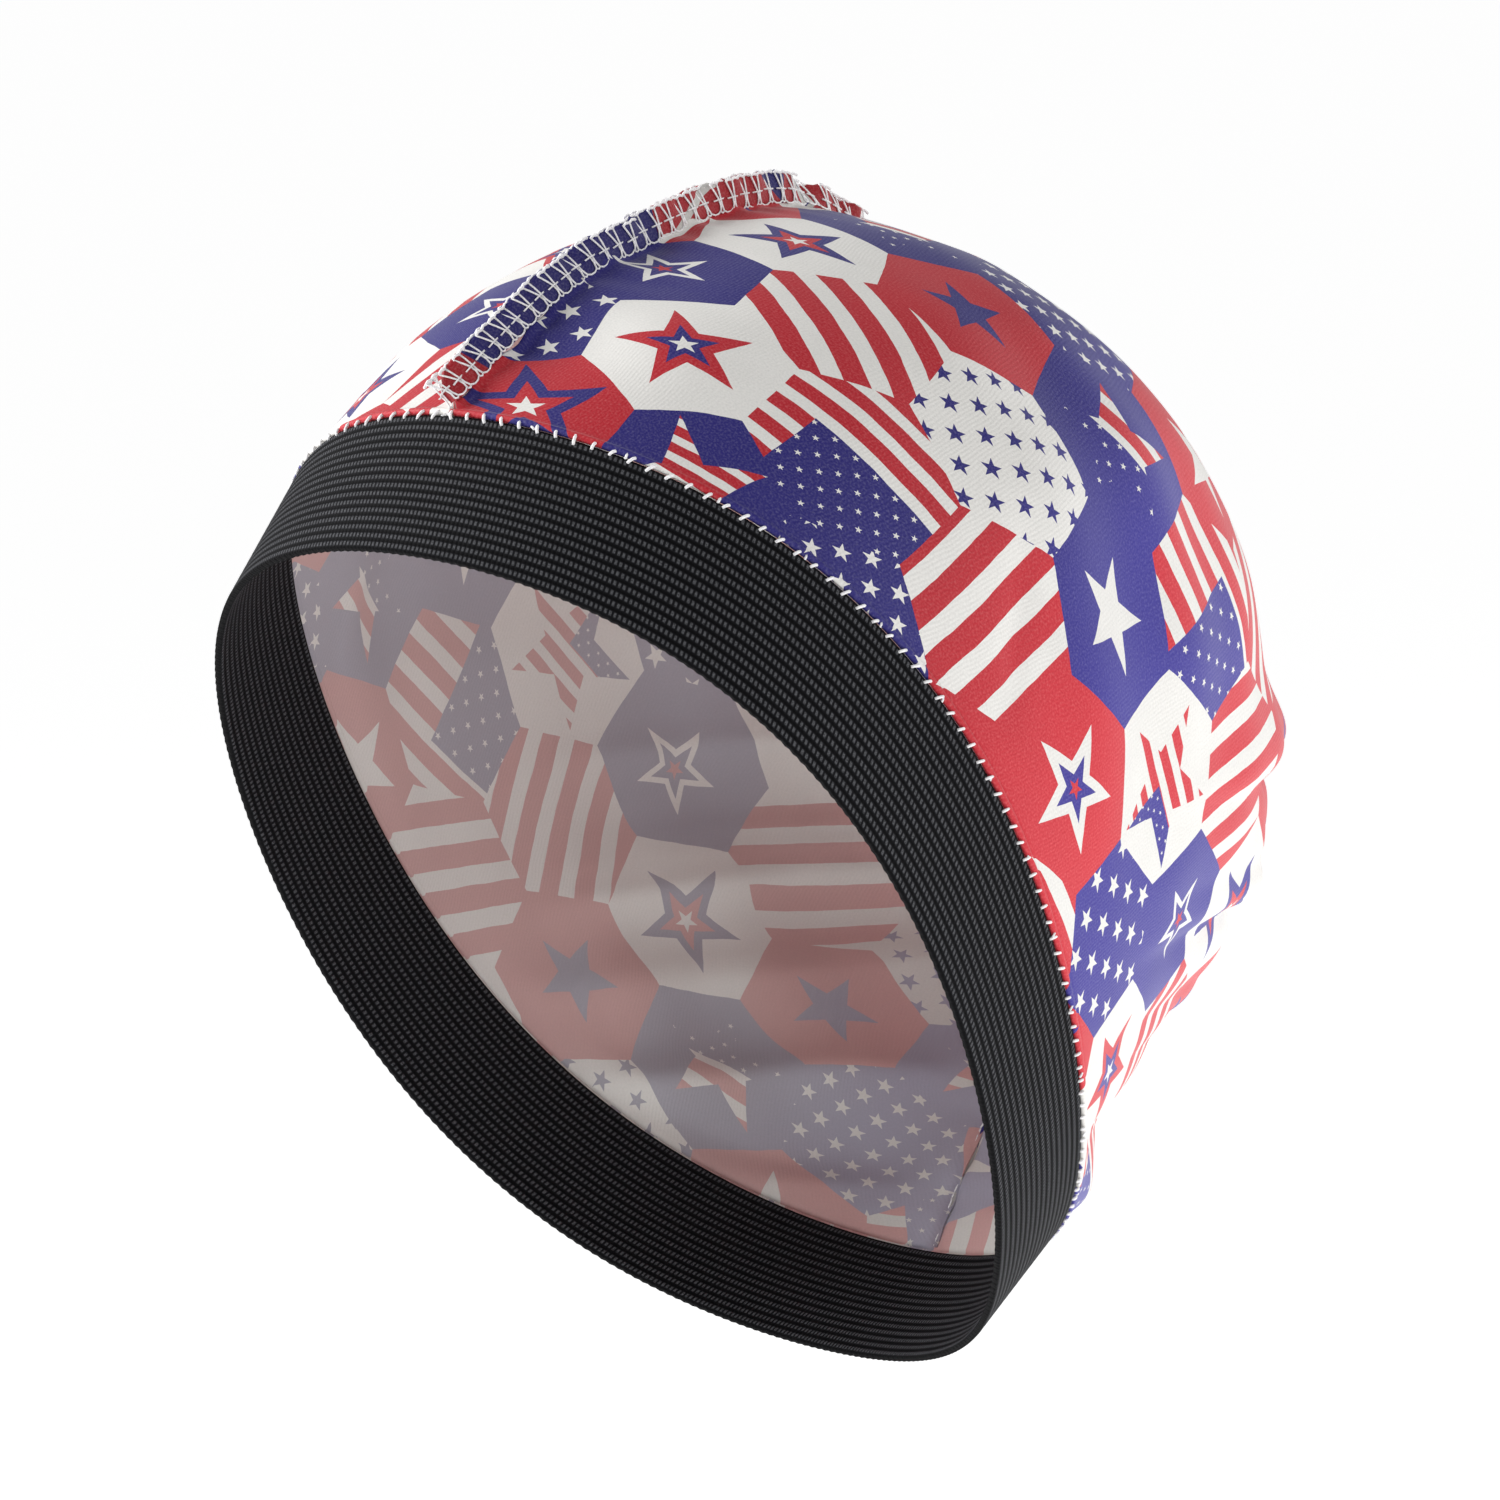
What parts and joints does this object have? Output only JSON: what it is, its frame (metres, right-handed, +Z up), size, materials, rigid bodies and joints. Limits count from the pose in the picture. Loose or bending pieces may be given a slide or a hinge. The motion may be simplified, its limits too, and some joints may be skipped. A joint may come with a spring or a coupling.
{
  "type": "helmet liner cap",
  "caption": "Stretch cap worn under a hard helmet: printed knit crown with an outside seam fin, sewn to a ribbed elastic band.",
  "frame": {"origin": "highest point of the hollow, on the mid plane, where the top of the wearer's head carries the cap", "axes": "+Z up as worn, -Y the way the wearer faces, +X the wearer's left"},
  "size_m": [0.1678, 0.2346, 0.2332],
  "materials": {
    "printed_knit": "smooth satin-faced stretch knit, printed with hexagons of stars and stripes in red, violet blue and white",
    "serged_seam": "folded print edges bound together by white overlock thread",
    "stitch_thread": "white textured sewing thread",
    "ribbed_elastic": "matt black woven elastic with fine lengthwise ribs"
  },
  "bodies": {
    "root": {"crown_left": "printed_knit", "crown_right": "printed_knit", "seam_fin": "serged_seam", "band": "ribbed_elastic"}
  },
  "joints": []
}
